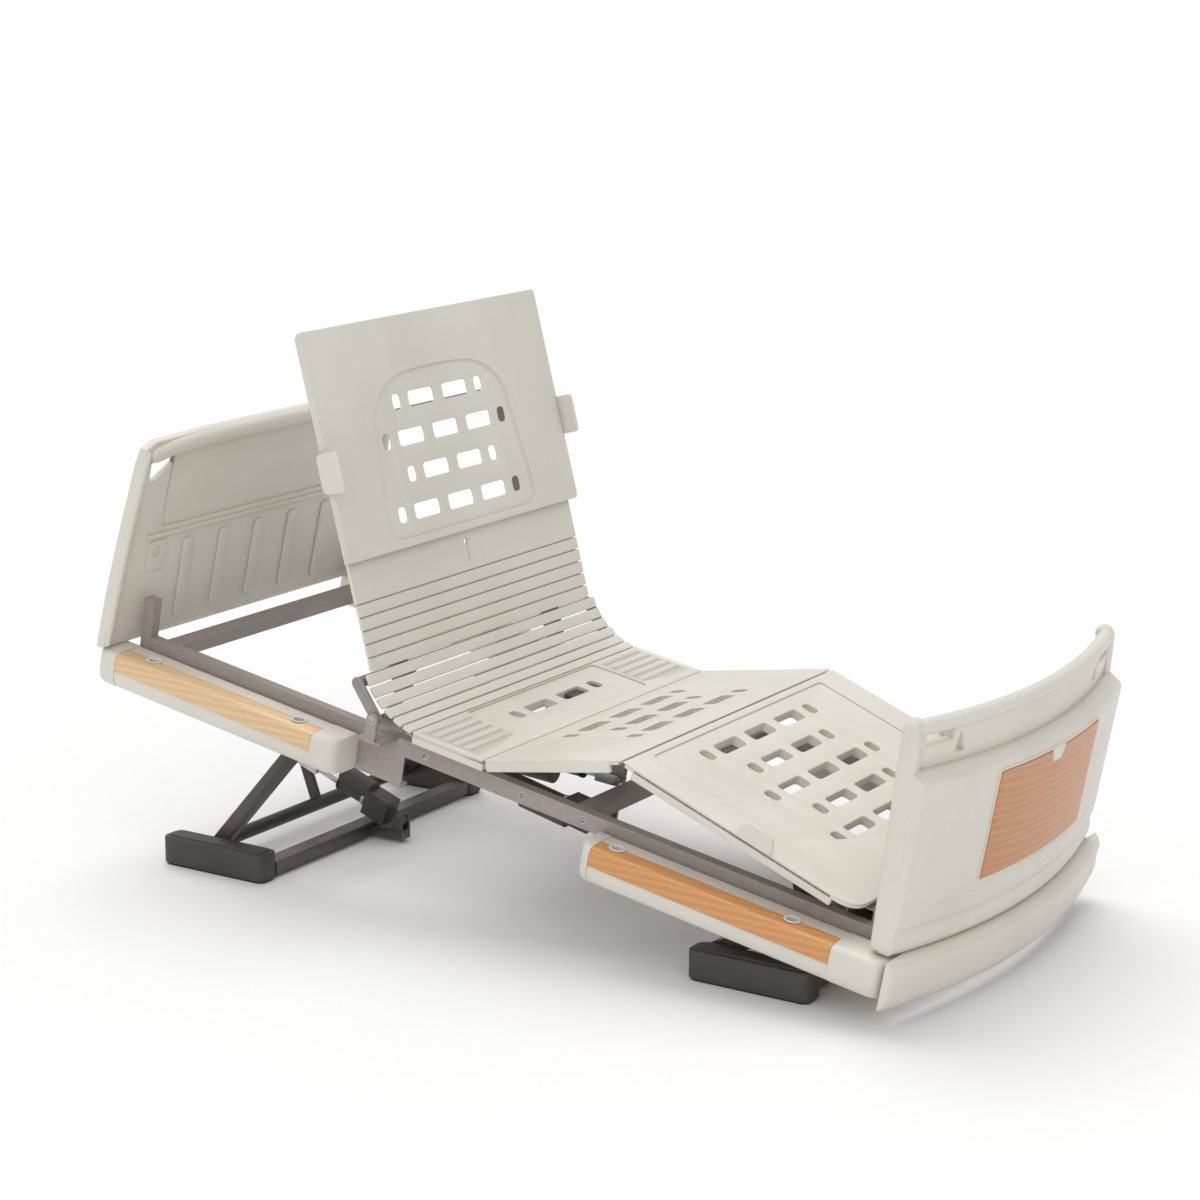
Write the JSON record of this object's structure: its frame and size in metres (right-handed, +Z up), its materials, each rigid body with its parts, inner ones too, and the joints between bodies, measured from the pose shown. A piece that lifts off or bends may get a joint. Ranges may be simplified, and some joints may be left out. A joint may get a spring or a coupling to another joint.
{
  "type": "adjustable hospital bed",
  "caption": "Low home-care bed with a sectioned slotted platform, raising back and knees, tilting lift frame, lift-off end boards and wood-faced corner covers.",
  "frame": {"origin": "on the floor, at the middle of the bed's outline in this pose", "axes": "+X from the head end to the foot end, +Y to the patient's left, +Z up"},
  "size_m": [2.0958, 0.98, 1.2284],
  "materials": {
    "shell": "fine-grained satin",
    "frame_grey": "satin powder coat",
    "dark_steel": "satin powder coat",
    "dark_plastic": "matt moulded",
    "bright_steel": "ground",
    "head_wood": "satin lacquer, pale beech",
    "foot_wood": "satin lacquer, warm beech"
  },
  "bodies": {
    "root": {"head_floor_pad_left": "dark_plastic", "head_floor_pad_right": "dark_plastic", "foot_floor_pad_left": "dark_plastic", "foot_floor_pad_right": "dark_plastic", "head_pivot_shaft": "bright_steel", "foot_pivot_shaft": "bright_steel", "head_base_beam": "dark_steel", "foot_base_beam": "dark_steel"},
    "head_lift": {"head_lift_arms": "dark_steel"},
    "head_rollers": {"head_roller_left": "dark_plastic", "head_roller_right": "dark_plastic"},
    "foot_lift": {"foot_lift_arms": "dark_steel"},
    "foot_pivot": {"foot_pivot_tube": "bright_steel"},
    "frame": {"frame_rail_left": "frame_grey", "frame_rail_right": "frame_grey", "frame_cross_head": "frame_grey", "frame_cross_middle": "frame_grey", "frame_cross_rear": "frame_grey", "frame_cross_foot": "frame_grey", "seat_panel": "shell", "control_box": "dark_plastic", "back_hinge_bracket_left": "frame_grey", "back_hinge_bracket_right": "frame_grey", "headboard_bracket_left": "frame_grey", "headboard_bracket_right": "frame_grey", "head_corner_cover_left": "shell", "head_corner_cover_right": "shell", "head_wood_inlay_left": "head_wood", "head_wood_inlay_right": "head_wood", "foot_corner_cover_left": "shell", "foot_corner_cover_right": "shell", "foot_wood_inlay_left": "foot_wood", "foot_wood_inlay_right": "foot_wood"},
    "headboard": {"headboard": "shell"},
    "footboard": {"footboard": "shell", "footboard_wood_panel": "foot_wood"},
    "back_frame": {"back_frame": "frame_grey"},
    "back_panel": {"back_panel": "shell", "back_retainer_tab_left": "shell", "back_retainer_tab_right": "shell"},
    "slat_1": {"slat_1": "shell"},
    "slat_2": {"slat_2": "shell"},
    "slat_3": {"slat_3": "shell"},
    "slat_4": {"slat_4": "shell"},
    "slat_5": {"slat_5": "shell"},
    "slat_6": {"slat_6": "shell"},
    "lower_back_sheet": {"lower_back_sheet": "shell"},
    "thigh": {"thigh_panel": "shell", "thigh_lever": "frame_grey"},
    "calf": {"calf_panel": "shell"},
    "back_actuator_housing": {"back_actuator_housing": "dark_plastic"},
    "back_actuator_rod": {"back_actuator_rod": "bright_steel"},
    "knee_actuator_housing": {"knee_actuator_housing": "dark_plastic"},
    "knee_actuator_rod": {"knee_actuator_rod": "bright_steel"},
    "head_lift_actuator_housing": {"head_lift_actuator_housing": "dark_plastic"},
    "head_lift_actuator_rod": {"head_lift_actuator_rod": "bright_steel"},
    "foot_lift_actuator_housing": {"foot_lift_actuator_housing": "dark_plastic"},
    "foot_lift_actuator_rod": {"foot_lift_actuator_rod": "bright_steel"}
  },
  "joints": [
    {"name": "foot_lift", "type": "hinge", "parent": "root", "child": "foot_lift", "pos_m": [0.47423, 0, 0.05], "axis": [0, 1, 0], "range_deg": [-27, 0]},
    {"name": "foot_pivot_turn", "type": "hinge", "parent": "foot_lift", "child": "foot_pivot", "pos_m": [0.7025, 0, 0.15175], "axis": [0, 1, 0], "range_deg": [0, 23.15]},
    {"name": "frame_tilt", "type": "hinge", "parent": "foot_pivot", "child": "frame", "pos_m": [0.7025, 0, 0.15175], "axis": [0, 1, 0], "range_deg": [-10.37, 0]},
    {"name": "head_lift", "type": "hinge", "parent": "root", "child": "head_lift", "pos_m": [-0.81077, 0, 0.05], "axis": [0, 1, 0], "range_deg": [0, 35.79]},
    {"name": "head_roller_spin", "type": "hinge", "parent": "head_lift", "child": "head_rollers", "pos_m": [-0.5466, 0, 0.34788], "axis": [0, 1, 0], "continuous": true},
    {"name": "back_raise", "type": "hinge", "parent": "frame", "child": "back_frame", "pos_m": [-0.30125, 0, 0.4331], "axis": [0, 1, 0], "range_deg": [-65, 5]},
    {"name": "back_slide", "type": "slide", "parent": "back_frame", "child": "back_panel", "axis": [-0.2525, 0, 0.9676], "range_m": [-0.1652, 0.01289]},
    {"name": "slat_1_turn", "type": "hinge", "parent": "frame", "child": "slat_1", "pos_m": [-0.21469, 0, 0.41725], "axis": [0, 1, 0], "range_deg": [-9.34, 0.76]},
    {"name": "slat_2_turn", "type": "hinge", "parent": "frame", "child": "slat_2", "pos_m": [-0.22777, 0, 0.42076], "axis": [0, 1, 0], "range_deg": [-18.62, 1.48]},
    {"name": "slat_3_turn", "type": "hinge", "parent": "frame", "child": "slat_3", "pos_m": [-0.24072, 0, 0.42499], "axis": [0, 1, 0], "range_deg": [-27.91, 2.19]},
    {"name": "slat_4_turn", "type": "hinge", "parent": "frame", "child": "slat_4", "pos_m": [-0.25353, 0, 0.42996], "axis": [0, 1, 0], "range_deg": [-37.19, 2.91]},
    {"name": "slat_5_turn", "type": "hinge", "parent": "frame", "child": "slat_5", "pos_m": [-0.26621, 0, 0.43568], "axis": [0, 1, 0], "range_deg": [-46.48, 3.62]},
    {"name": "slat_6_turn", "type": "hinge", "parent": "frame", "child": "slat_6", "pos_m": [-0.27875, 0, 0.44217], "axis": [0, 1, 0], "range_deg": [-55.76, 4.34]},
    {"name": "lower_back_sheet_turn", "type": "hinge", "parent": "frame", "child": "lower_back_sheet", "pos_m": [-0.29114, 0, 0.44944], "axis": [0, 1, 0], "range_deg": [-65.05, 5.05]},
    {"name": "thigh_raise", "type": "hinge", "parent": "frame", "child": "thigh", "pos_m": [-0.03369, 0, 0.38411], "axis": [0, 1, 0], "range_deg": [-8, 19.2]},
    {"name": "calf_bend", "type": "hinge", "parent": "thigh", "child": "calf", "pos_m": [0.30011, 0, 0.43595], "axis": [0, 1, 0], "range_deg": [-30.65, 12.8]},
    {"name": "headboard_lift", "type": "slide", "parent": "frame", "child": "headboard", "axis": [0.1801, 0, 0.9837], "range_m": [0, 0.12]},
    {"name": "footboard_lift", "type": "slide", "parent": "frame", "child": "footboard", "axis": [0.1801, 0, 0.9837], "range_m": [0, 0.12]},
    {"name": "back_actuator_swing", "type": "hinge", "parent": "frame", "child": "back_actuator_housing", "pos_m": [0.14671, 0, 0.23113], "axis": [0, 1, 0], "range_deg": [-4.28, 0.38]},
    {"name": "back_actuator_stroke", "type": "slide", "parent": "back_actuator_housing", "child": "back_actuator_rod", "axis": [-0.9732, 0, 0.23], "range_m": [-0.13879, 0.01086]},
    {"name": "knee_actuator_swing", "type": "hinge", "parent": "frame", "child": "knee_actuator_housing", "pos_m": [-0.25263, 0, 0.3266], "axis": [0, 1, 0], "range_deg": [-3.33, 7.92]},
    {"name": "knee_actuator_stroke", "type": "slide", "parent": "knee_actuator_housing", "child": "knee_actuator_rod", "axis": [0.9963, 0, -0.0854], "range_m": [-0.03052, 0.01283]},
    {"name": "head_lift_actuator_swing", "type": "hinge", "parent": "root", "child": "head_lift_actuator_housing", "pos_m": [-0.57077, 0, 0.05], "axis": [0, 1, 0], "range_deg": [-0.05, 6.36]},
    {"name": "head_lift_actuator_stroke", "type": "slide", "parent": "head_lift_actuator_housing", "child": "head_lift_actuator_rod", "axis": [-0.9371, 0, 0.3491], "range_m": [-0.06104, 0.0002]},
    {"name": "foot_lift_actuator_swing", "type": "hinge", "parent": "root", "child": "foot_lift_actuator_housing", "pos_m": [0.72923, 0, 0.06], "axis": [0, 1, 0], "range_deg": [-5.55, 0.05]},
    {"name": "foot_lift_actuator_stroke", "type": "slide", "parent": "foot_lift_actuator_housing", "child": "foot_lift_actuator_rod", "axis": [-0.9511, 0, 0.309], "range_m": [-0.0002, 0.03666]}
  ],
  "couplings": [
    {"joint": "foot_pivot_turn", "follows": "foot_lift", "ratio": -0.85},
    {"joint": "head_lift", "follows": "frame_tilt", "ratio": -3.44},
    {"joint": "back_slide", "follows": "back_raise", "m_per_rad": 0.14544},
    {"joint": "slat_1_turn", "follows": "back_raise", "ratio": 0.14286},
    {"joint": "slat_2_turn", "follows": "back_raise", "ratio": 0.28571},
    {"joint": "slat_3_turn", "follows": "back_raise", "ratio": 0.42857},
    {"joint": "slat_4_turn", "follows": "back_raise", "ratio": 0.57143},
    {"joint": "slat_5_turn", "follows": "back_raise", "ratio": 0.71429},
    {"joint": "slat_6_turn", "follows": "back_raise", "ratio": 0.85714},
    {"joint": "lower_back_sheet_turn", "follows": "back_raise", "ratio": 1},
    {"joint": "calf_bend", "follows": "thigh_raise", "ratio": -1.5938},
    {"joint": "back_actuator_swing", "follows": "back_raise", "ratio": 0.065054},
    {"joint": "back_actuator_stroke", "follows": "back_raise", "m_per_rad": 0.12216},
    {"joint": "knee_actuator_swing", "follows": "thigh_raise", "ratio": 0.40969},
    {"joint": "knee_actuator_stroke", "follows": "thigh_raise", "m_per_rad": -0.090475},
    {"joint": "head_lift_actuator_swing", "follows": "frame_tilt", "ratio": -0.60839},
    {"joint": "head_lift_actuator_stroke", "follows": "frame_tilt", "m_per_rad": 0.336},
    {"joint": "foot_lift_actuator_swing", "follows": "foot_lift", "ratio": 0.20376},
    {"joint": "foot_lift_actuator_stroke", "follows": "foot_lift", "m_per_rad": -0.07736}
  ]
}
